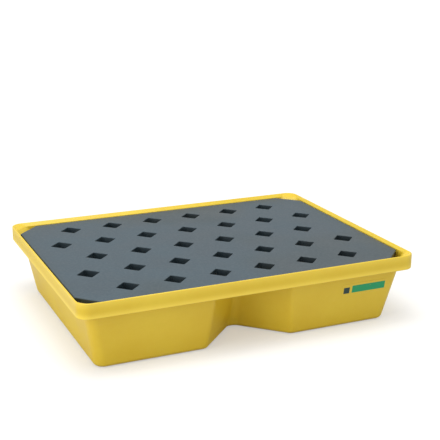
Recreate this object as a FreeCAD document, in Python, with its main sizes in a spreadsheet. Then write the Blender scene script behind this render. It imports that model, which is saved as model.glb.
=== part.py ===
import FreeCAD, Part
import math
import os
import Sketcher

# Spill containment tray with a lift-out deck, 808 x 605 x 168 mm.
# +Z is up, the tray stands on Z = 0 and the origin is the middle of its base.
# +X runs along the long side and -Y is the front, the side that carries the printed mark.

doc = FreeCAD.newDocument("spill_tray")
sheet = doc.addObject("Spreadsheet::Sheet", "dims")

DIMENSIONS = [
    # overall size of the tray
    ("length", 808),
    ("width", 605),
    ("height", 168),
    # rim: an upright band that rises from the step where the deck rests
    ("rim_height", 35),
    ("rim_corner_radius", 26),
    ("rim_end_thickness", 6.5),
    ("rim_side_thickness", 10.5),
    ("rim_foot_radius", 2.5),
    ("ridge_width", 2.5),
    ("ridge_corner_cut", 17),
    ("ridge_edge_radius", 2),
    ("slope_depth", 7.5),
    ("lip_radius", 1.5),
    # opening inside the rim, with its corners cut off; the corner faces slope up to the ridge
    ("opening_corner_cut", 41),
    ("opening_corner_radius", 14),
    ("corner_slope_depth", 18),
    ("lip_corner_cut", 28),
    # basin below the rim
    ("skin", 5),
    ("base_inset", 47),
    ("draft", 10.8),
    ("basin_corner_radius", 24),
    ("base_edge_radius", 12),
    ("step_edge_radius", 2.5),
    # V-shaped recess in the middle of each long wall; its two walls stand at 45 degrees
    ("recess_half_width", 105),
    ("recess_edge_radius", 18),
    ("recess_valley_radius", 20),
    # hollow pillars moulded up from the floor to carry the middle of the deck
    ("pillar_base_radius", 42),
    ("pillar_top_radius", 22),
    ("pillar_foot_radius", 6),
    ("pillar_head_radius", 3),
    # deck
    ("deck_below_ridge", 7),
    ("deck_end_gap", 3.5),
    ("deck_side_gap", 5),
    ("deck_seat_gap", 0.2),
    ("deck_corner_cut", 51.5),
    ("deck_corner_radius", 6),
    ("deck_edge_radius", 2.5),
    ("deck_skin", 5),
    ("deck_skirt", 5),
    ("deck_rib", 4),
    # drain holes: squares turned by 45 degrees, in staggered rows
    ("hole_pitch", 108.2),
    ("hole_half_diagonal", 27),
    ("hole_corner_radius", 3),
    ("hole_edge_radius", 1.5),
    ("hole_collar", 6),
    # printed mark on the front wall
    ("mark_length", 114),
    ("mark_height", 30),
    ("mark_thickness", 0.4),
    ("mark_corner_radius", 4),
    ("mark_centre_x", 285),
    ("mark_centre_z", 95),
    ("mark_gap", 0.05),
]

for row, (alias, value) in enumerate(DIMENSIONS, start=1):
    sheet.set(f"A{row}", alias)
    sheet.set(f"B{row}", str(value))
    sheet.setAlias(f"B{row}", alias)
doc.recompute()

# Heights above the base.
RIM_FOOT = "(dims.height - dims.rim_height)"
STEP_TOP = f"({RIM_FOOT} + dims.skin)"
LIP_LEVEL = "(dims.height - dims.slope_depth)"
CORNER_SLOPE_FOOT = "(dims.height - dims.corner_slope_depth)"
DECK_TOP = "(dims.height - dims.deck_below_ridge)"
DECK_FOOT = f"({STEP_TOP} + dims.deck_seat_gap)"
DECK_DEPTH = f"({DECK_TOP} - {DECK_FOOT})"

# Half sizes of the outlines, which all share the tray's centre.
RIM_X = "(dims.length / 2)"
RIM_Y = "(dims.width / 2)"
BASE_X = f"({RIM_X} - dims.base_inset)"
BASE_Y = f"({RIM_Y} - dims.base_inset)"
OPENING_X = f"({RIM_X} - dims.rim_end_thickness)"
OPENING_Y = f"({RIM_Y} - dims.rim_side_thickness)"
DECK_X = f"({OPENING_X} - dims.deck_end_gap)"
DECK_Y = f"({OPENING_Y} - dims.deck_side_gap)"

# The pillars stand under the deck's skin midway between four drain holes.
PILLAR_X = "(2 * dims.hole_pitch)"

# Drain holes: three rows of six with two rows of seven between them.
OUTER_COLUMNS, OUTER_ROWS = 6, 3
INNER_COLUMNS, INNER_ROWS = 7, 2

# Ribs under the deck: one through every column of holes and one through every row.
CROSS_RIBS = OUTER_COLUMNS + INNER_COLUMNS
LONG_RIBS = OUTER_ROWS + INNER_ROWS

# The outline turns by 45 degrees at the mouth of a recess, half of it on each side of the corner.
HALF_MOUTH_TURN = "22.5 deg"

ORIGIN_POINT = (-1, 1)
X_AXIS, Y_AXIS = -1, -2
START, END = 1, 2
EVEN_SPACING = -1.0  # stands for "the same gap as the others" in a repeated feature
TOLERANCE = 0.01


def number(expression):
    """Value of an expression over the sheet, in millimetres or degrees."""
    result = sheet.evalExpression(expression.replace("dims.", ""))
    return float(getattr(result, "Value", result))


# ---------------------------------------------------------------- outlines

def wall_growth(level):
    """How far the leaning basin wall has moved outwards at a height."""
    return f"{level} * tan(dims.draft)"


# An outline is a list of corners, each with its place and the radius that rounds it.

def rectangle(half_x, half_y, radius):
    return all_quadrants([(half_x, half_y, radius)])


def octagon(half_x, half_y, cut, radius):
    """Rectangle with its corners cut off at 45 degrees."""
    return all_quadrants([
        (half_x, f"{half_y} - {cut}", radius),
        (f"{half_x} - {cut}", half_y, radius),
    ])


def basin_outline(growth, skin):
    """Basin wall with a V-shaped recess in each long side, moved outwards by a distance.

    The skin is 0 for the outside of the wall; on its inside every radius changes by it.
    """
    side_x = f"{BASE_X} + {growth}"
    side_y = f"{BASE_Y} + {growth}"
    mouth_x = f"(dims.recess_half_width - ({growth}) * tan({HALF_MOUTH_TURN}))"
    quarter = [
        (side_x, side_y, f"dims.basin_corner_radius - {skin}"),
        (mouth_x, side_y, f"dims.recess_edge_radius - {skin}"),
    ]
    valley = ("0", f"{side_y} - {mouth_x}", f"dims.recess_valley_radius + {skin}")
    return all_quadrants(quarter, [valley])


def turned_square(centre_x, centre_y, half_diagonal, radius):
    """Square standing on a corner."""
    return [
        (f"{centre_x} + {half_diagonal}", centre_y, radius),
        (centre_x, f"{centre_y} + {half_diagonal}", radius),
        (f"{centre_x} - {half_diagonal}", centre_y, radius),
        (centre_x, f"{centre_y} - {half_diagonal}", radius),
    ]


def all_quadrants(quarter, back_middle=()):
    """Closed outline, anticlockwise, from its corners in the +X +Y quadrant.

    A corner in the middle of the back side comes on top and is mirrored to the front side.
    """
    back_left = [(f"-({x})", y, radius) for x, y, radius in reversed(quarter)]
    front_left = [(f"-({x})", f"-({y})", radius) for x, y, radius in quarter]
    front_middle = [(x, f"-({y})", radius) for x, y, radius in back_middle]
    front_right = [(x, f"-({y})", radius) for x, y, radius in reversed(quarter)]
    return [*quarter, *back_middle, *back_left, *front_left, *front_middle, *front_right]


# ---------------------------------------------------------------- sketches

def new_body(name):
    body = doc.addObject("PartDesign::Body", name)
    body.Label = name
    return body


def origin_plane(body, role):
    return next(feature for feature in body.Origin.OriginFeatures if feature.Role == role)


def new_sketch(body, name, level="0"):
    """Horizontal sketch of a body at a height above the body's own origin."""
    sketch = body.newObject("Sketcher::SketchObject", name)
    sketch.AttachmentSupport = [(origin_plane(body, "XY_Plane"), "")]
    sketch.MapMode = "FlatFace"
    sketch.setExpression("AttachmentOffset.Base.z", level)
    return sketch


def hold(sketch, point, kind, axis, expression):
    """Keep a sketch point at a signed distance from the sketch origin along one direction."""
    value = number(expression)
    if abs(value) < TOLERANCE:
        sketch.addConstraint(Sketcher.Constraint("PointOnObject", point, START, axis))
    elif value > 0:
        held = sketch.addConstraint(Sketcher.Constraint(kind, *ORIGIN_POINT, point, START, value))
        sketch.setExpression(f"Constraints[{held}]", expression)
    else:
        held = sketch.addConstraint(Sketcher.Constraint(kind, point, START, *ORIGIN_POINT, -value))
        sketch.setExpression(f"Constraints[{held}]", f"-({expression})")


def with_neighbours(items):
    """Each item of a closed outline, between the one before it and the one after it."""
    return zip(items[-1:] + items[:-1], items, items[1:] + items[:1])


def add_sharp_outline(sketch, corners):
    """Closed polygon whose corners follow the sheet."""
    places = [FreeCAD.Vector(number(x), number(y), 0) for x, y, _ in corners]
    lines = [
        sketch.addGeometry(Part.LineSegment(place, following), False)
        for _, place, following in with_neighbours(places)
    ]
    for line_before, line, _ in with_neighbours(lines):
        sketch.addConstraint(Sketcher.Constraint("Coincident", line_before, END, line, START))
    for line, (x, y, _) in zip(lines, corners):
        hold(sketch, line, "DistanceX", Y_AXIS, x)
        hold(sketch, line, "DistanceY", X_AXIS, y)


def add_outline(sketch, corners):
    """Closed outline of straight lines and rounded corners that all follow the sheet."""
    places = [FreeCAD.Vector(number(x), number(y), 0) for x, y, _ in corners]
    arcs = []
    for (before, place, after), (_, _, radius) in zip(with_neighbours(places), corners):
        incoming = (place - before).normalize()
        outgoing = (after - place).normalize()
        half_turn = incoming.getAngle(outgoing) / 2
        reach = number(radius) * math.tan(half_turn)
        inward = (outgoing - incoming).normalize()
        start = place - incoming * reach
        middle = place + inward * number(radius) * (1 / math.cos(half_turn) - 1)
        end = place + outgoing * reach
        # A sketch arc always runs anticlockwise, so at a hollow corner its ends are swapped.
        turns_left = incoming.cross(outgoing).z > 0
        first, last = (start, end) if turns_left else (end, start)
        arc = sketch.addGeometry(Part.Arc(first, middle, last), False)
        arcs.append((arc, start, end, START if turns_left else END, END if turns_left else START))
    lines = [
        sketch.addGeometry(Part.LineSegment(arc[2], arc_after[1]), False)
        for _, arc, arc_after in with_neighbours(arcs)
    ]
    for index, (arc, _, _, entry, leave) in enumerate(arcs):
        line_in, line_out = lines[index - 1], lines[index]
        x, y, radius = corners[index]
        sketch.addConstraint(Sketcher.Constraint("Tangent", line_in, END, arc, entry))
        sketch.addConstraint(Sketcher.Constraint("Tangent", arc, leave, line_out, START))
        held = sketch.addConstraint(Sketcher.Constraint("Radius", arc, number(radius)))
        sketch.setExpression(f"Constraints[{held}]", radius)
        corner = sketch.addGeometry(Part.Point(places[index]), True)
        sketch.addConstraint(Sketcher.Constraint("PointOnObject", corner, START, line_in))
        sketch.addConstraint(Sketcher.Constraint("PointOnObject", corner, START, line_out))
        hold(sketch, corner, "DistanceX", Y_AXIS, x)
        hold(sketch, corner, "DistanceY", X_AXIS, y)


def outline_sketch(body, name, level, corners):
    sketch = new_sketch(body, name, level)
    add_outline(sketch, corners)
    return sketch


# ---------------------------------------------------------------- features

def pad(body, name, sketch, length, downwards=False):
    feature = body.newObject("PartDesign::Pad", name)
    feature.Profile = sketch
    feature.Reversed = downwards
    feature.setExpression("Length", length)
    doc.recompute()
    return feature


def pocket(body, name, sketch, depth, upwards=False):
    """Cut straight down or up from a sketch, and make sure that material went."""
    volume_before = body.Shape.Volume
    feature = body.newObject("PartDesign::Pocket", name)
    feature.Profile = sketch
    feature.Reversed = upwards
    feature.setExpression("Length", depth)
    doc.recompute()
    if body.Shape.Volume >= volume_before:
        raise RuntimeError(f"{name} cuts nothing")
    return feature


def fillet(body, name, edge_test, radius):
    """Round every edge of the body so far that passes the test."""
    base = body.Tip
    edges = [f"Edge{index}" for index, edge in enumerate(base.Shape.Edges, start=1) if edge_test(edge)]
    if not edges:
        raise RuntimeError(f"{name} finds no edge")
    feature = body.newObject("PartDesign::Fillet", name)
    feature.Base = (base, edges)
    feature.setExpression("Radius", radius)
    doc.recompute()
    return feature


def lean(body, name, wall_test, pivot_level):
    """Lean the walls that pass the test outwards by the draft, pivoting at one level."""
    base = body.Tip
    faces = list(enumerate(base.Shape.Faces, start=1))
    walls = [f"Face{index}" for index, face in faces if wall_test(face)]
    pivot = next(f"Face{index}" for index, face in faces if lies_at(face, pivot_level))
    feature = body.newObject("PartDesign::Draft", name)
    feature.Base = (base, walls)
    feature.NeutralPlane = (base, [pivot])
    feature.Reversed = True
    feature.setExpression("Angle", "dims.draft")
    doc.recompute()
    return feature


def loft_away(body, name, lower_sketch, upper_sketch):
    """Cut the space whose straight walls join two outlines with the same corners."""
    feature = body.newObject("PartDesign::SubtractiveLoft", name)
    feature.Profile = lower_sketch
    feature.Sections = [upper_sketch]
    feature.Ruled = True
    doc.recompute()
    return feature


def cone(body, name, kind, base_radius, top_radius, height):
    """Upright cone standing on the base plane at the place of the first pillar."""
    feature = body.newObject(kind, name)
    feature.AttachmentSupport = [(origin_plane(body, "XY_Plane"), "")]
    feature.MapMode = "FlatFace"
    feature.setExpression("AttachmentOffset.Base.x", PILLAR_X)
    feature.setExpression("Radius1", base_radius)
    feature.setExpression("Radius2", top_radius)
    feature.setExpression("Height", height)
    doc.recompute()
    return feature


def rib(body, name, centre_x, centre_y, length, width):
    """Rib below the deck's skin, given by its centre and its two sizes."""
    feature = body.newObject("PartDesign::AdditiveBox", name)
    feature.AttachmentSupport = [(origin_plane(body, "XY_Plane"), "")]
    feature.MapMode = "FlatFace"
    feature.setExpression("AttachmentOffset.Base.x", f"{centre_x} - ({length}) / 2")
    feature.setExpression("AttachmentOffset.Base.y", f"{centre_y} - ({width}) / 2")
    feature.setExpression("AttachmentOffset.Base.z", DECK_FOOT)
    feature.setExpression("Length", length)
    feature.setExpression("Width", width)
    feature.setExpression("Height", f"{DECK_DEPTH} - dims.deck_skin / 2")
    doc.recompute()
    return feature


def repeat(body, name, originals, sketch, columns, rows, spacing_x, spacing_y):
    """Repeat features in evenly spaced columns along X and rows along Y."""
    feature = body.newObject("PartDesign::LinearPattern", name)
    feature.Originals = originals
    feature.Direction = (sketch, ["H_Axis"])
    feature.Mode = "Spacing"
    feature.Occurrences = columns
    feature.setExpression("Offset", spacing_x)
    feature.Direction2 = (sketch, ["V_Axis"])
    feature.Mode2 = "Spacing"
    feature.Occurrences2 = rows
    feature.Spacings2 = [EVEN_SPACING] * (rows - 1)
    feature.setExpression("Offset2", spacing_y)
    body.Tip = feature
    doc.recompute()
    return feature


# ---------------------------------------------------------------- places on the shapes

def lies_at(shape, level):
    """The whole edge or face is at one height."""
    box = shape.BoundBox
    height = number(level)
    return abs(box.ZMin - height) < TOLERANCE and abs(box.ZMax - height) < TOLERANCE


def spans(shape, low, high):
    """The edge or face runs from one height to another."""
    box = shape.BoundBox
    return abs(box.ZMin - number(low)) < TOLERANCE and abs(box.ZMax - number(high)) < TOLERANCE


def is_on_rim_outside(edge):
    """The middle of the edge is on the outer face of the rim."""
    middle = edge.CenterOfMass
    return (
        abs(middle.x) > number(RIM_X) - number("dims.ridge_width")
        or abs(middle.y) > number(RIM_Y) - number("dims.ridge_width")
        or abs(middle.x) + abs(middle.y) > number(RIM_X) + number(RIM_Y) - number("dims.ridge_corner_cut")
    )


def is_round(edge, radius):
    """The edge is part of a circle no larger than a radius."""
    curve = edge.Curve
    return isinstance(curve, Part.Circle) and curve.Radius < number(radius) + TOLERANCE


def is_in_valley(edge):
    return abs(edge.CenterOfMass.x) < number("dims.recess_half_width") / 2


def is_beside_recess(edge):
    half_width = number("dims.recess_half_width")
    return half_width / 2 < abs(edge.CenterOfMass.x) < half_width * 2


def is_at_corner(edge):
    return abs(edge.CenterOfMass.x) > number("dims.recess_half_width") * 2


def is_on_opening(edge):
    """The middle of the edge is on the wall of the opening that the deck drops into."""
    middle = edge.CenterOfMass
    cut_line = number(OPENING_X) + number(OPENING_Y) - number("dims.opening_corner_cut")
    return (
        abs(middle.x) > number(OPENING_X) - number("dims.lip_radius")
        or abs(middle.y) > number(OPENING_Y) - number("dims.lip_radius")
        or abs(middle.x) + abs(middle.y) > cut_line - number("dims.opening_corner_radius") / 2
    )


def is_on_deck_side(edge):
    """The middle of the edge is on the deck's outer wall."""
    middle = edge.CenterOfMass
    cut_line = number(DECK_X) + number(DECK_Y) - number("dims.deck_corner_cut")
    return (
        abs(middle.x) > number(DECK_X) - number("dims.deck_skirt")
        or abs(middle.y) > number(DECK_Y) - number("dims.deck_skirt")
        or abs(middle.x) + abs(middle.y) > cut_line - number("dims.deck_skirt")
    )


# ---------------------------------------------------------------- the tray


def build_sump_tray():
    """One moulding: basin, step for the deck, rim, wall recesses and floor pillars."""
    tray = new_body("sump_tray")

    base_outline = new_sketch(tray, "base_outline")
    add_sharp_outline(base_outline, basin_outline("0", "0"))
    pad(tray, "basin_block", base_outline, RIM_FOOT)
    lean(tray, "basin_draft", lambda face: spans(face, "0", RIM_FOOT), "0")
    for name, is_here, radius in (
        ("recess_valleys", is_in_valley, "dims.recess_valley_radius"),
        ("recess_edges", is_beside_recess, "dims.recess_edge_radius"),
        ("basin_corners", is_at_corner, "dims.basin_corner_radius"),
    ):
        fillet(tray, name,
               lambda edge, is_here=is_here: spans(edge, "0", RIM_FOOT) and is_here(edge), radius)
    fillet(tray, "base_edges", lambda edge: lies_at(edge, "0"), "dims.base_edge_radius")

    rim_outline = outline_sketch(tray, "rim_outline", RIM_FOOT,
                                 rectangle(RIM_X, RIM_Y, "dims.rim_corner_radius"))
    pad(tray, "rim_block", rim_outline, "dims.rim_height")
    fillet(tray, "rim_foot_edges",
           lambda edge: lies_at(edge, RIM_FOOT) and is_on_rim_outside(edge), "dims.rim_foot_radius")

    # The opening is cut straight down to the step. Its corners then slope out to the lip, and
    # from the lip the whole wall slopes out to the ridge.
    opening = octagon(OPENING_X, OPENING_Y, "dims.opening_corner_cut",
                              "dims.opening_corner_radius")
    lip = octagon(OPENING_X, OPENING_Y, "dims.lip_corner_cut", "dims.opening_corner_radius")
    ridge = octagon(f"{RIM_X} - dims.ridge_width", f"{RIM_Y} - dims.ridge_width",
                            "dims.ridge_corner_cut", "dims.rim_corner_radius - dims.ridge_width")
    opening_outline = outline_sketch(tray, "opening_outline", "dims.height", opening)
    pocket(tray, "deck_recess", opening_outline, "dims.rim_height - dims.skin")
    loft_away(tray, "corner_slopes",
              outline_sketch(tray, "corner_slope_foot", CORNER_SLOPE_FOOT, opening),
              outline_sketch(tray, "corner_slope_head", LIP_LEVEL, lip))
    loft_away(tray, "rim_slope",
              outline_sketch(tray, "lip_outline", LIP_LEVEL, lip),
              outline_sketch(tray, "ridge_outline", "dims.height", ridge))

    # The basin is hollowed from the floor to the step, one skin inside its leaning walls.
    wall_inset = "dims.skin / cos(dims.draft)"
    floor_outline = outline_sketch(
        tray, "floor_outline", "dims.skin",
        basin_outline(f"{wall_growth('dims.skin')} - {wall_inset}", "dims.skin"))
    step_outline = outline_sketch(
        tray, "step_outline", STEP_TOP,
        basin_outline(f"{wall_growth(STEP_TOP)} - {wall_inset}", "dims.skin"))
    loft_away(tray, "cavity", floor_outline, step_outline)
    fillet(tray, "floor_edges", lambda edge: lies_at(edge, "dims.skin"),
           "dims.base_edge_radius - dims.skin")
    fillet(tray, "step_edges",
           lambda edge: lies_at(edge, STEP_TOP) and not is_on_opening(edge), "dims.step_edge_radius")

    outside = cone(tray, "pillar_outside", "PartDesign::AdditiveCone",
                   "dims.pillar_base_radius", "dims.pillar_top_radius", STEP_TOP)
    inside = cone(tray, "pillar_inside", "PartDesign::SubtractiveCone",
                  "dims.pillar_base_radius - dims.skin", "dims.pillar_top_radius - dims.skin",
                  f"{STEP_TOP} - dims.skin")
    second_pillar = tray.newObject("PartDesign::Mirrored", "second_pillar")
    second_pillar.Originals = [outside, inside]
    second_pillar.MirrorPlane = (origin_plane(tray, "YZ_Plane"), [""])
    tray.Tip = second_pillar
    doc.recompute()
    fillet(tray, "pillar_feet",
           lambda edge: lies_at(edge, "dims.skin") and is_round(edge, "dims.pillar_base_radius"),
           "dims.pillar_foot_radius")
    fillet(tray, "pillar_heads",
           lambda edge: lies_at(edge, STEP_TOP) and is_round(edge, "dims.pillar_top_radius"),
           "dims.pillar_head_radius")

    fillet(tray, "lip_edges", lambda edge: lies_at(edge, LIP_LEVEL), "dims.lip_radius")
    fillet(tray, "ridge_edges",
           lambda edge: lies_at(edge, "dims.height") and is_on_rim_outside(edge),
           "dims.ridge_edge_radius")
    return tray


# ---------------------------------------------------------------- the deck

def first_of(count, pitch):
    """Place of the first of a number of things that are evenly spaced about the middle."""
    return f"-({count} - 1) / 2 * {pitch}"


def add_drain_holes(deck, name, columns, rows):
    """Square holes on their corners, each inside a collar, in rows two pitches apart."""
    row_pitch = "2 * dims.hole_pitch"
    first_x = first_of(columns, "dims.hole_pitch")
    first_y = first_of(rows, row_pitch)
    half = "dims.hole_half_diagonal"
    collar = f"({half} + dims.hole_collar)"
    collar_outline = new_sketch(deck, f"{name}_collar_outline", DECK_TOP)
    add_outline(collar_outline, turned_square(first_x, first_y, collar, "dims.hole_corner_radius"))
    collar_pad = pad(deck, f"{name}_collar", collar_outline, DECK_DEPTH, downwards=True)
    hole_outline = new_sketch(deck, f"{name}_hole_outline", DECK_TOP)
    add_outline(hole_outline, turned_square(first_x, first_y, half, "dims.hole_corner_radius"))
    hole = pocket(deck, f"{name}_hole", hole_outline, DECK_DEPTH)
    repeat(deck, f"{name}_rows", [collar_pad, hole], hole_outline, columns, rows,
           "dims.hole_pitch", row_pitch)


def build_deck_grating():
    """One moulding: a flat skin with a skirt, ribs below it and a collar round every hole."""
    deck = new_body("deck_grating")
    outline = octagon(DECK_X, DECK_Y, "dims.deck_corner_cut", "dims.deck_corner_radius")
    inner_x = f"({DECK_X} - dims.deck_skirt)"
    inner_y = f"({DECK_Y} - dims.deck_skirt)"
    inner_cut = "dims.deck_corner_cut - dims.deck_skirt * (2 - sqrt(2))"

    block_outline = outline_sketch(deck, "block_outline", DECK_TOP, outline)
    pad(deck, "block", block_outline, DECK_DEPTH, downwards=True)
    underside_outline = outline_sketch(
        deck, "underside_outline", DECK_FOOT,
        octagon(inner_x, inner_y, inner_cut, "dims.deck_corner_radius"))
    pocket(deck, "underside", underside_outline, f"{DECK_DEPTH} - dims.deck_skin", upwards=True)

    cross_pitch = "dims.hole_pitch / 2"
    cross_rib = rib(deck, "cross_rib", first_of(CROSS_RIBS, cross_pitch), "0",
                    "dims.deck_rib", f"2 * {inner_y} + dims.deck_skirt")
    repeat(deck, "cross_ribs", [cross_rib], block_outline, CROSS_RIBS, 1,
           cross_pitch, "dims.hole_pitch")
    long_rib = rib(deck, "long_rib", "0", first_of(LONG_RIBS, "dims.hole_pitch"),
                   f"2 * {inner_x} + dims.deck_skirt", "dims.deck_rib")
    repeat(deck, "long_ribs", [long_rib], block_outline, 1, LONG_RIBS,
           "dims.hole_pitch", "dims.hole_pitch")

    add_drain_holes(deck, "outer_rows", OUTER_COLUMNS, OUTER_ROWS)
    add_drain_holes(deck, "inner_rows", INNER_COLUMNS, INNER_ROWS)
    fillet(deck, "hole_edges", lambda edge: lies_at(edge, DECK_TOP) and not is_on_deck_side(edge),
           "dims.hole_edge_radius")
    fillet(deck, "top_edges", lambda edge: lies_at(edge, DECK_TOP) and is_on_deck_side(edge),
           "dims.deck_edge_radius")
    return deck


# ---------------------------------------------------------------- the printed mark

def build_front_marking():
    """Thin blank print on the front wall, lying along the wall's lean."""
    marking = new_body("front_marking")
    outline = outline_sketch(marking, "mark_outline", "dims.mark_gap",
                             rectangle("dims.mark_length / 2", "dims.mark_height / 2",
                                               "dims.mark_corner_radius"))
    pad(marking, "mark", outline, "dims.mark_thickness")
    marking.Placement.Rotation = FreeCAD.Rotation(FreeCAD.Vector(1, 0, 0), 90)
    marking.setExpression("Placement.Rotation.Angle", "90 deg + dims.draft * 1 deg")
    marking.setExpression("Placement.Base.x", "dims.mark_centre_x")
    marking.setExpression("Placement.Base.y", f"-({BASE_Y} + {wall_growth('dims.mark_centre_z')})")
    marking.setExpression("Placement.Base.z", "dims.mark_centre_z")
    doc.recompute()
    return marking


# ---------------------------------------------------------------- build, check and write

nodes = [build_sump_tray(), build_deck_grating(), build_front_marking()]
doc.recompute()

for item in doc.Objects:
    if "Invalid" in item.State or "Error" in item.State:
        raise RuntimeError(f"{item.Name} failed: {item.State}")
for node in nodes:
    if node.Shape.isNull() or not node.Shape.isValid():
        raise RuntimeError(f"{node.Label} has no valid shape")
    if len(node.Shape.Solids) != 1:
        raise RuntimeError(f"{node.Label} is not one solid")

os.makedirs("parts", exist_ok=True)
for node in nodes:
    node.Shape.exportStep(f"parts/{node.Label}.step")
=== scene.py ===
import math

import bpy
from mathutils import Matrix, Vector


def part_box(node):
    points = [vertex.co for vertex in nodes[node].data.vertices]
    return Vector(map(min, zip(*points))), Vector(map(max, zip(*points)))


# Looks for the spill containment tray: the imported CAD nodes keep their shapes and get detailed
# moulded-plastic materials. Everything is in metres, in the CAD frame.

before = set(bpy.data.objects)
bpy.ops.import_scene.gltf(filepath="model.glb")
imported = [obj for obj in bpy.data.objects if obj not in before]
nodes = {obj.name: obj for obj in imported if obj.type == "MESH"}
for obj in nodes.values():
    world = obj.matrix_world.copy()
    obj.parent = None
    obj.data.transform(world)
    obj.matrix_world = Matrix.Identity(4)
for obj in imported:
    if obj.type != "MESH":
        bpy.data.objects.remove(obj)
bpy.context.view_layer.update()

MILLIMETRE = 0.001

# The refractive index of polyethylene.
PLASTIC_IOR = 1.50

# A fade is the noise values where a pattern starts and where it is full, then how strongly it
# shows at each. A fade of two numbers shows from nothing to fully.
CLOUD_FADE = (0.3, 0.7)


# ---------------------------------------------------------------- shader building blocks

class Shader:
    """A material under construction: most methods add nodes and return an output socket."""

    # A face is level where the Z of its normal, up or down, is at least the first of these, and
    # upright where it is at most the second.
    LEVEL_Z = 0.8
    UPRIGHT_Z = 0.1

    # On open faces a rounded normal agrees fully with the plain one; on edges, no more than this.
    OPEN_AGREEMENT = 1.0
    EDGE_AGREEMENT = 0.9
    EDGE_SAMPLES = 4

    # How much the finer layers of a noise count.
    NOISE_ROUGHNESS = 0.55

    # Sockets of a mix node share their names, so the ones for colours are found by number.
    MIX_AMOUNT = 0
    MIX_FIRST = 6
    MIX_SECOND = 7
    MIX_RESULT = 2

    def __init__(self, name):
        self.material = bpy.data.materials.new(name)
        self.material.use_nodes = True
        self.tree = self.material.node_tree
        self.tree.nodes.clear()
        self.place = self.add("ShaderNodeTexCoord").outputs["Object"]

    def set_input(self, node, key, value):
        """Links a socket to a node's input, or gives the input a plain value."""
        if isinstance(value, bpy.types.NodeSocket):
            self.tree.links.new(value, node.inputs[key])
        else:
            node.inputs[key].default_value = value

    def add(self, kind, inputs=None, **settings):
        """New node with these settings and inputs."""
        node = self.tree.nodes.new(kind)
        for name, value in settings.items():
            setattr(node, name, value)
        for key, value in (inputs or {}).items():
            self.set_input(node, key, value)
        return node

    def stretched(self, stretch, turn=0.0):
        """Object coordinates scaled along each axis, and turned about Z."""
        mapping = self.add("ShaderNodeMapping", {
            "Vector": self.place,
            "Scale": stretch,
            "Rotation": (0.0, 0.0, turn),
        })
        return mapping.outputs["Vector"]

    def noise(self, feature_size, detail=3.0, vector=None):
        """Cloudy noise from 0 to 1 whose largest features are about this many metres wide."""
        node = self.add("ShaderNodeTexNoise", {
            "Vector": vector or self.place,
            "Scale": 1.0 / feature_size,
            "Detail": detail,
            "Roughness": self.NOISE_ROUGHNESS,
        })
        return node.outputs["Fac"]

    def fade(self, value, low, high, to_low=0.0, to_high=1.0):
        """Value mapped smoothly from one range to another and held at its ends."""
        node = self.add("ShaderNodeMapRange", {
            "Value": value,
            "From Min": low,
            "From Max": high,
            "To Min": to_low,
            "To Max": to_high,
        }, interpolation_type="SMOOTHSTEP")
        return node.outputs["Result"]

    def calculate(self, operation, first, second=0.0):
        """Result of one math operation on one or two values."""
        node = self.add("ShaderNodeMath", {0: first, 1: second}, operation=operation)
        return node.outputs["Value"]

    def mix(self, amount, first, second):
        """Colour mixed from two others."""
        inputs = {self.MIX_AMOUNT: amount, self.MIX_FIRST: first, self.MIX_SECOND: second}
        return self.add("ShaderNodeMix", inputs, data_type="RGBA").outputs[self.MIX_RESULT]

    def rougher(self, roughness, wear, extra):
        """Roughness with extra added where the wear is full."""
        return self.calculate("ADD", roughness, self.calculate("MULTIPLY", wear, extra))

    def height(self):
        """Height above the tray's base with the deck in place, in metres."""
        return self.add("ShaderNodeSeparateXYZ", {"Vector": self.place}).outputs["Z"]

    def upright(self):
        """1 on upright faces and 0 on level ones."""
        normal = self.add("ShaderNodeNewGeometry").outputs["Normal"]
        upward = self.add("ShaderNodeSeparateXYZ", {"Vector": normal}).outputs["Z"]
        return self.fade(self.calculate("ABSOLUTE", upward), self.LEVEL_Z, self.UPRIGHT_Z)

    def edge(self, radius):
        """1 on outer edges and 0 on open faces, from how far a rounded normal turns away."""
        bevel = self.add("ShaderNodeBevel", {"Radius": radius}, samples=self.EDGE_SAMPLES)
        normals = {0: bevel.outputs["Normal"],
                   1: self.add("ShaderNodeNewGeometry").outputs["Normal"]}
        agreement = self.add("ShaderNodeVectorMath", normals, operation="DOT_PRODUCT")
        return self.fade(agreement.outputs["Value"], self.OPEN_AGREEMENT, self.EDGE_AGREEMENT)

    def bump(self, height, depth, below=None):
        """Normal whose relief is as deep as depth, in metres, on top of another relief."""
        inputs = {"Height": height, "Distance": depth, "Strength": 1.0}
        if below is not None:
            inputs["Normal"] = below
        return self.add("ShaderNodeBump", inputs).outputs["Normal"]

    def finish(self, colour, roughness, normal, **extra):
        """The finished plastic. An underscore in an extra input's name stands for a space."""
        inputs = {"Base Color": colour, "Roughness": roughness, "Normal": normal, "IOR": PLASTIC_IOR}
        inputs.update({key.replace("_", " "): value for key, value in extra.items()})
        surface = self.add("ShaderNodeBsdfPrincipled", inputs).outputs["BSDF"]
        self.add("ShaderNodeOutputMaterial", {"Surface": surface})
        return self.material


# ---------------------------------------------------------------- the tray's yellow polyethylene

YELLOW = (0.74, 0.525, 0.028, 1.0)
PALE_YELLOW = (0.78, 0.575, 0.042, 1.0)
DEEP_YELLOW = (0.69, 0.465, 0.018, 1.0)
# Paler yellow for specks, scuffs and rubbed edges; on the edges it also serves as a painted highlight.
WORN_AND_HIGHLIT_YELLOW = (0.86, 0.72, 0.26, 1.0)
# Painted highlight colour for the foot and the top of the rim's upright band.
PAINTED_HIGHLIGHT_YELLOW = (0.93, 0.70, 0.085, 1.0)
FLOOR_DIRT = (0.36, 0.27, 0.09, 1.0)

# Feature sizes of the patterns in the plastic.
TRAY_CLOUDS = 160 * MILLIMETRE
TRAY_PIGMENT = 12 * MILLIMETRE
TRAY_SPECKLE = 1.6 * MILLIMETRE
TRAY_STREAKS = 30 * MILLIMETRE
TRAY_PATCHES = 90 * MILLIMETRE

# Rubbed streaks run along the walls: stretched sideways and squeezed in height.
STREAK_STRETCH = (0.35, 0.35, 4.0)

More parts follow.
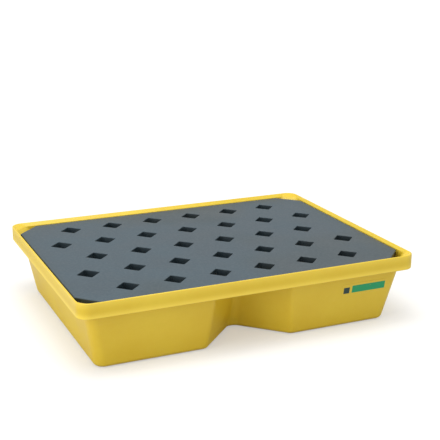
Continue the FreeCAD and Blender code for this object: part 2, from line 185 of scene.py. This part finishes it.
# How each pattern fades in: pigment, specks, scuffs, rubbed edges and dirt.
TRAY_PIGMENT_FADE = (0.35, 0.65, 0.0, 0.10)
TRAY_SPECKLE_FADE = (0.62, 0.75, 0.0, 0.12)
STREAK_FADE = (0.60, 0.72)
SCUFF_PATCH_FADE = (0.50, 0.66)
TRAY_RUB_FADE = (0.30, 0.70, 0.15, 0.55)
DIRT_PATCH_FADE = (0.35, 0.75, 0.0, 0.3)

# Share of plain yellow over the clouds.
PLAIN_SHARE = 0.45

# Walls are scuffed most at the floor and least from this height up, and dirty up to a lower one.
SCUFFED_HEIGHT = 60 * MILLIMETRE
LEAST_SCUFFED = 0.15
DIRTY_HEIGHT = 5 * MILLIMETRE

# How far from an edge it is painted paler; the paler edges are partly rubbed wear and partly a painted
# highlight.
TRAY_EDGE_WEAR_AND_HIGHLIGHT = 1.5 * MILLIMETRE

# How strongly the scuffs show, and how rough the plastic is: between its clouds, and on top
# of that where it is scuffed and where it is rubbed.
SCUFF_STRENGTH = 0.35
TRAY_ROUGHNESS = (0.36, 0.46)
SCUFF_ROUGHNESS = 0.25
RUB_ROUGHNESS = 0.12

# The rim's upright band, and how far up and down it a highlight is painted along its foot and its top,
# and how strongly.
RIM_HEIGHT = 35 * MILLIMETRE
FOOT_HIGHLIGHT_START = 0.5 * MILLIMETRE
FOOT_HIGHLIGHT_REACH = 15 * MILLIMETRE
FOOT_HIGHLIGHT = 0.85
TOP_HIGHLIGHT_REACH = 17 * MILLIMETRE
TOP_HIGHLIGHT = 0.50

# The moulded relief of the yellow skin: feature size and depth of the waves, the peel and the grain.
TRAY_WAVES = (110 * MILLIMETRE, 0.5 * MILLIMETRE)
TRAY_PEEL = (3.5 * MILLIMETRE, 0.05 * MILLIMETRE)
TRAY_GRAIN = (0.9 * MILLIMETRE, 0.02 * MILLIMETRE)

# Some of the light sinks into the plastic: how deep, how far each colour gets, and what share.
SOAK_DEPTH = 6 * MILLIMETRE
SOAK_COLOURS = (1.0, 0.7, 0.15)
SOAK_SHARE = 0.10


def painted_rim_highlight(shader):
    """How much painted highlight shows: on upright faces, along the foot and the top of the rim's
    band.
    """
    rim_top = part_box("sump_tray")[1].z
    rim_foot = rim_top - RIM_HEIGHT
    above_foot = shader.fade(shader.height(), rim_foot - FOOT_HIGHLIGHT_START, rim_foot)
    foot_fade = shader.fade(shader.height(), rim_foot + FOOT_HIGHLIGHT_REACH, rim_foot, 0.0, FOOT_HIGHLIGHT)
    near_foot = shader.calculate("MULTIPLY", above_foot, foot_fade)
    near_top = shader.fade(shader.height(), rim_top - TOP_HIGHLIGHT_REACH, rim_top, 0.0, TOP_HIGHLIGHT)
    both = shader.calculate("ADD", near_foot, near_top)
    return shader.calculate("MULTIPLY", both, shader.upright())


def yellow_relief(shader):
    """Normal of the moulded yellow skin."""
    size, depth = TRAY_WAVES
    waves = shader.bump(shader.noise(size, detail=2.0), depth)
    size, depth = TRAY_PEEL
    peel = shader.bump(shader.noise(size, detail=2.0), depth, waves)
    size, depth = TRAY_GRAIN
    return shader.bump(shader.noise(size, detail=1.0), depth, peel)


def yellow_plastic(shader):
    """Colour, roughness and normal of the moulded yellow plastic."""
    clouds = shader.noise(TRAY_CLOUDS, detail=4.0)
    pigment = shader.noise(TRAY_PIGMENT)
    speckle = shader.noise(TRAY_SPECKLE, detail=2.0)
    colour = shader.mix(shader.fade(clouds, *CLOUD_FADE), DEEP_YELLOW, PALE_YELLOW)
    colour = shader.mix(PLAIN_SHARE, colour, YELLOW)
    colour = shader.mix(shader.fade(pigment, *TRAY_PIGMENT_FADE), colour, DEEP_YELLOW)
    colour = shader.mix(shader.fade(speckle, *TRAY_SPECKLE_FADE), colour, WORN_AND_HIGHLIT_YELLOW)

    # Scuffs: short rubbed streaks, more of them near the floor.
    streaks = shader.noise(TRAY_STREAKS, detail=5.0, vector=shader.stretched(STREAK_STRETCH))
    patches = shader.noise(TRAY_PATCHES, detail=2.0)
    low_down = shader.fade(shader.height(), SCUFFED_HEIGHT, 0.0, LEAST_SCUFFED, 1.0)
    streaks = shader.fade(streaks, *STREAK_FADE)
    scuffs = shader.calculate("MULTIPLY", streaks, shader.fade(patches, *SCUFF_PATCH_FADE))
    scuffs = shader.calculate("MULTIPLY", scuffs, low_down)
    colour = shader.mix(shader.calculate("MULTIPLY", scuffs, SCUFF_STRENGTH), colour, WORN_AND_HIGHLIT_YELLOW)

    # Edges are painted paler, unevenly: partly rubbed wear, partly a painted highlight.
    unevenness = shader.fade(pigment, *TRAY_RUB_FADE)
    rubbed = shader.calculate("MULTIPLY", shader.edge(TRAY_EDGE_WEAR_AND_HIGHLIGHT), unevenness)
    colour = shader.mix(rubbed, colour, WORN_AND_HIGHLIT_YELLOW)

    # Painted highlight: the rim's upright band is painted paler along its foot and its top.
    colour = shader.mix(painted_rim_highlight(shader), colour, PAINTED_HIGHLIGHT_YELLOW)

    # A little floor dirt clings to the foot of the walls.
    near_floor = shader.fade(shader.height(), DIRTY_HEIGHT, 0.0)
    dirt = shader.calculate("MULTIPLY", near_floor, shader.fade(patches, *DIRT_PATCH_FADE))
    colour = shader.mix(dirt, colour, FLOOR_DIRT)

    roughness = shader.fade(clouds, *CLOUD_FADE, *TRAY_ROUGHNESS)
    roughness = shader.rougher(roughness, scuffs, SCUFF_ROUGHNESS)
    roughness = shader.rougher(roughness, rubbed, RUB_ROUGHNESS)
    return colour, roughness, yellow_relief(shader)


def tray_material():
    """The yellow plastic, with a little light soaking into it."""
    shader = Shader("tray_yellow")
    colour, roughness, normal = yellow_plastic(shader)
    return shader.finish(
        colour, roughness, normal,
        Subsurface_Weight=SOAK_SHARE, Subsurface_Scale=SOAK_DEPTH, Subsurface_Radius=SOAK_COLOURS)


# ---------------------------------------------------------------- the deck's grey polyethylene

GREY = (0.024, 0.048, 0.064, 1.0)
PALE_GREY = (0.038, 0.068, 0.087, 1.0)
NEUTRAL_GREY = (0.033, 0.046, 0.047, 1.0)
WORN_GREY = (0.12, 0.145, 0.16, 1.0)
# Painted shade colour for the walls of the holes and of the gap round the deck.
PAINTED_SHADE_GREY = (0.006, 0.011, 0.014, 1.0)

# Feature sizes of the patterns in the plastic.
DECK_BROAD = 300 * MILLIMETRE
DECK_CLOUDS = 120 * MILLIMETRE
DECK_PIGMENT = 6 * MILLIMETRE
DECK_SPECKLE = 1.4 * MILLIMETRE
DECK_MARKS = 120 * MILLIMETRE

# The two directions in which cans were dragged: turn about Z in radians, and stretch of the noise.
DRAG_DIRECTIONS = ((0.12, (1.2, 26.0, 1.0)), (1.45, (1.5, 34.0, 1.0)))

# How each pattern fades in: broad tint, pigment, specks, drag marks and rubbed edges.
DECK_BROAD_FADE = (0.45, 0.65, 0.0, 0.55)
DECK_PIGMENT_FADE = (0.4, 0.7, 0.0, 0.18)
DECK_SPECKLE_FADE = (0.60, 0.78, 0.0, 0.30)
MARK_FADE = (0.66, 0.74)
MARK_CLOUD_FADE = (0.40, 0.62, 0.1, 1.0)
DECK_RUB_FADE = (0.30, 0.70, 0.10, 0.45)

# How far from an edge it is rubbed paler.
DECK_EDGE_WEAR = 1.2 * MILLIMETRE

# How strongly the drag marks show, and how rough the plastic is, between its clouds and on
# top of that along the marks.
MARK_STRENGTH = 0.22
DECK_ROUGHNESS = (0.42, 0.52)
MARK_ROUGHNESS = 0.14

# Painted shade darkens the walls of the holes and of the gap round the deck, from this far below its
# top.
SHADE_START = 0.2 * MILLIMETRE
SHADE_FULL = 2 * MILLIMETRE
HOLE_SHADE = 0.6

# The relief of the grey skin: feature size and depth of the waves and the texture; then the
# depth of the scratches.
DECK_WAVES = (140 * MILLIMETRE, 0.8 * MILLIMETRE)
DECK_TEXTURE = (2.6 * MILLIMETRE, 0.06 * MILLIMETRE)
SCRATCH_DEPTH = 0.03 * MILLIMETRE


def drag_marks(shader, clouds):
    """Long faint lines where cans have been slid on and off, fainter where the clouds are thin."""
    marks = 0.0
    for turn, stretch in DRAG_DIRECTIONS:
        lines = shader.noise(DECK_MARKS, detail=6.0, vector=shader.stretched(stretch, turn))
        marks = shader.calculate("MAXIMUM", shader.fade(lines, *MARK_FADE), marks)
    return shader.calculate("MULTIPLY", marks, shader.fade(clouds, *MARK_CLOUD_FADE))


def painted_hole_shade(shader):
    """How much painted shade shows on the upright faces below the deck's top."""
    deck_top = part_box("deck_grating")[1].z
    below_top = shader.fade(
        shader.height(), deck_top - SHADE_START, deck_top - SHADE_FULL, 0.0, HOLE_SHADE)
    return shader.calculate("MULTIPLY", below_top, shader.upright())


def deck_relief(shader, marks):
    """Normal of the grey skin, with the drag marks scratched into it."""
    size, depth = DECK_WAVES
    waves = shader.bump(shader.noise(size, detail=2.0), depth)
    size, depth = DECK_TEXTURE
    texture = shader.bump(shader.noise(size), depth, waves)
    return shader.bump(shader.calculate("SUBTRACT", 0.0, marks), SCRATCH_DEPTH, texture)


def deck_material():
    """The worn grey plastic of the deck."""
    shader = Shader("deck_grey")
    clouds = shader.noise(DECK_CLOUDS, detail=4.0)
    pigment = shader.noise(DECK_PIGMENT)
    speckle = shader.noise(DECK_SPECKLE, detail=2.0)
    broad = shader.noise(DECK_BROAD, detail=1.0)
    colour = shader.mix(shader.fade(clouds, *CLOUD_FADE), GREY, PALE_GREY)
    colour = shader.mix(shader.fade(broad, *DECK_BROAD_FADE), colour, NEUTRAL_GREY)
    colour = shader.mix(shader.fade(pigment, *DECK_PIGMENT_FADE), colour, WORN_GREY)
    colour = shader.mix(shader.fade(speckle, *DECK_SPECKLE_FADE), colour, WORN_GREY)

    marks = drag_marks(shader, clouds)
    colour = shader.mix(shader.calculate("MULTIPLY", marks, MARK_STRENGTH), colour, WORN_GREY)

    unevenness = shader.fade(pigment, *DECK_RUB_FADE)
    rubbed = shader.calculate("MULTIPLY", shader.edge(DECK_EDGE_WEAR), unevenness)
    colour = shader.mix(rubbed, colour, WORN_GREY)
    # Painted shade on the walls of the holes and of the gap round the deck.
    colour = shader.mix(painted_hole_shade(shader), colour, PAINTED_SHADE_GREY)

    roughness = shader.fade(clouds, *CLOUD_FADE, *DECK_ROUGHNESS)
    roughness = shader.rougher(roughness, marks, MARK_ROUGHNESS)
    return shader.finish(colour, roughness, deck_relief(shader, marks))


# ---------------------------------------------------------------- the printed mark

INK_GREEN = (0.003, 0.32, 0.12, 1.0)
DARK_INK = (0.012, 0.045, 0.040, 1.0)

# How softly the ink ends, how far the print keeps from the film's ends, the gap between the
# square and the bar, and their sizes.
PRINT_EDGE = 0.4 * MILLIMETRE
PRINT_INSET = 1.5 * MILLIMETRE
PRINT_GAP = 6 * MILLIMETRE
SQUARE_SIDE = 16 * MILLIMETRE
BAR_HEIGHT = 19 * MILLIMETRE

# Feature size of the spots where the ink is worn away, and how the ink fades in between them.
INK_WEAR = 3 * MILLIMETRE
INK_WEAR_FADE = (0.20, 0.28)


def between(shader, value, start, end):
    """1 where a value lies between two limits and 0 outside them, with a soft edge."""
    rise = shader.fade(value, start, start + PRINT_EDGE)
    fall = shader.fade(value, end - PRINT_EDGE, end, 1.0, 0.0)
    return shader.calculate("MULTIPLY", rise, fall)


def marking_material():
    """A plain dark square and a plain green bar; the rest of the clear print film shows the yellow."""
    shader = Shader("marking_green")
    colour, roughness, normal = yellow_plastic(shader)
    low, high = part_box("front_marking")
    place = shader.add("ShaderNodeSeparateXYZ", {"Vector": shader.place})

    def block(left, right, bottom, top):
        """Printed rectangle, placed from the left and the bottom of the film."""
        along = between(shader, place.outputs["X"], low.x + left, low.x + right)
        up = between(shader, place.outputs["Z"], low.z + bottom, low.z + top)
        inked = shader.fade(shader.noise(INK_WEAR), *INK_WEAR_FADE)
        return shader.calculate("MULTIPLY", shader.calculate("MULTIPLY", along, up), inked)

    length = high.x - low.x
    height = high.z - low.z
    print_bottom = (height - BAR_HEIGHT) / 2
    square_end = PRINT_INSET + SQUARE_SIDE
    square = block(PRINT_INSET, square_end, print_bottom, print_bottom + SQUARE_SIDE)
    bar = block(
        square_end + PRINT_GAP, length - PRINT_INSET, print_bottom, print_bottom + BAR_HEIGHT)
    colour = shader.mix(bar, colour, INK_GREEN)
    colour = shader.mix(square, colour, DARK_INK)
    return shader.finish(colour, roughness, normal)


# ---------------------------------------------------------------- hand the materials out

def repaint(node_name, material):
    """Every material slot of a CAD node takes one new material."""
    for slot in nodes[node_name].material_slots:
        slot.material = material


repaint("sump_tray", tray_material())
repaint("deck_grating", deck_material())
repaint("front_marking", marking_material())


# ---------------------------------------------------------------- studio floor

# The floor lies just under the base, so that the two faces never share a plane.
FLOOR_LEVEL = -0.3 * MILLIMETRE
FLOOR_SIZE = 60.0

# The floor's faintly clouded colour, and the feature size and depth of its grain.
FLOOR_TONE = (0.60, 0.60, 0.60, 1.0)
PALE_FLOOR_TONE = (0.62, 0.62, 0.62, 1.0)
FLOOR_CLOUDS = 500 * MILLIMETRE
FLOOR_GRAIN = 20 * MILLIMETRE
FLOOR_GRAIN_DEPTH = 0.1 * MILLIMETRE

# How bright the floor glows for the camera, close to the object and far away, where it is pure
# white. The glow rises between two distances from the object's middle.
NEAR_GLOW = 0.37
FAR_GLOW = 0.62
NEAR_REACH = 0.7
FAR_REACH = 2.5


def floor_material():
    """Matt floor that the camera alone sees a little brighter, as a lit studio table."""
    shader = Shader("studio_white")
    tone = shader.mix(shader.noise(FLOOR_CLOUDS), FLOOR_TONE, PALE_FLOOR_TONE)
    grain = shader.bump(shader.noise(FLOOR_GRAIN), FLOOR_GRAIN_DEPTH)
    matt = shader.add("ShaderNodeBsdfDiffuse", {"Color": tone, "Normal": grain}).outputs["BSDF"]
    seen = shader.add("ShaderNodeLightPath").outputs["Is Camera Ray"]
    distance = shader.add("ShaderNodeVectorMath", {0: shader.place}, operation="LENGTH")
    brightness = shader.fade(
        distance.outputs["Value"], NEAR_REACH, FAR_REACH, NEAR_GLOW, FAR_GLOW)
    strength = shader.calculate("MULTIPLY", seen, brightness)
    glow = shader.add("ShaderNodeEmission", {"Strength": strength}).outputs["Emission"]
    surface = shader.add("ShaderNodeAddShader", {0: matt, 1: glow}).outputs["Shader"]
    shader.add("ShaderNodeOutputMaterial", {"Surface": surface})
    return shader.material


def pale_floor():
    """Large level floor under the object."""
    bpy.ops.mesh.primitive_plane_add(size=FLOOR_SIZE, location=(0.0, 0.0, FLOOR_LEVEL))
    floor = bpy.context.object
    floor.name = "studio_floor"
    floor.data.materials.append(floor_material())


# ---------------------------------------------------------------- studio light

# How strongly the world lights the scene, and how bright the camera sees it.
WORLD_STRENGTH = 0.82
WORLD_WHITE = 1.1

# The soft boxes: where each one is, how wide its square is, and its power in watts.
OVERHEAD_PLACE = (-0.3, -0.3, 2.4)
OVERHEAD_WIDTH = 1.6
OVERHEAD_POWER = 32.0
LEFT_PLACE = (-2.6, -0.8, 1.0)
LEFT_WIDTH = 1.4
LEFT_POWER = 21.0

# The point that both soft boxes face, inside the tray.
LIT_POINT = Vector((0.0, 0.0, 0.1))


def soft_light(name, place, width, power):
    """Square white soft box that faces the tray."""
    light = bpy.data.lights.new(name, "AREA")
    light.shape = "SQUARE"
    light.size = width
    light.energy = power
    lamp = bpy.data.objects.new(name, light)
    lamp.location = place
    facing = LIT_POINT - Vector(place)
    lamp.rotation_euler = facing.to_track_quat("-Z", "Y").to_euler()
    bpy.context.scene.collection.objects.link(lamp)


def white_world():
    """Even light from all round, seen as pure white by the camera."""
    world = bpy.data.worlds.new("studio")
    world.use_nodes = True
    tree = world.node_tree
    background = tree.nodes["Background"]
    background.inputs["Color"].default_value = (1.0, 1.0, 1.0, 1.0)
    seen = tree.nodes.new("ShaderNodeLightPath").outputs["Is Camera Ray"]
    level = tree.nodes.new("ShaderNodeMapRange")
    level.inputs["To Min"].default_value = WORLD_STRENGTH
    level.inputs["To Max"].default_value = WORLD_WHITE
    tree.links.new(seen, level.inputs["Value"])
    tree.links.new(level.outputs["Result"], background.inputs["Strength"])
    bpy.context.scene.world = world


# ---------------------------------------------------------------- camera

# Sensor and focal length in millimetres, the unit that a camera takes them in.
SENSOR_WIDTH = 36.0
FOCAL_LENGTH = 80.18

# Where the camera stands, and which way it looks: yaw from the Y axis towards +X, pitch below level.
CAMERA_PLACE = (-0.8992, -2.0741, 0.8933)
CAMERA_YAW = math.radians(24.39)
CAMERA_PITCH = math.radians(16.69)
CAMERA_ROLL = math.radians(0.38)


def front_left_camera():
    """Camera that looks down on the tray from its front left. Unturned, a camera looks down -Z."""
    lens = bpy.data.cameras.new("camera")
    lens.sensor_width = SENSOR_WIDTH
    lens.lens = FOCAL_LENGTH
    yaw = Matrix.Rotation(-CAMERA_YAW, 4, "Z")
    pitch = Matrix.Rotation(math.pi / 2 - CAMERA_PITCH, 4, "X")
    roll = Matrix.Rotation(CAMERA_ROLL, 4, "Z")
    camera = bpy.data.objects.new("camera", lens)
    camera.matrix_world = Matrix.Translation(CAMERA_PLACE) @ yaw @ pitch @ roll
    bpy.context.scene.collection.objects.link(camera)
    bpy.context.scene.camera = camera


# ---------------------------------------------------------------- the whole scene

pale_floor()
white_world()
soft_light("overhead", OVERHEAD_PLACE, OVERHEAD_WIDTH, OVERHEAD_POWER)
soft_light("left_side", LEFT_PLACE, LEFT_WIDTH, LEFT_POWER)
front_left_camera()
bpy.context.scene.view_settings.view_transform = "Standard"
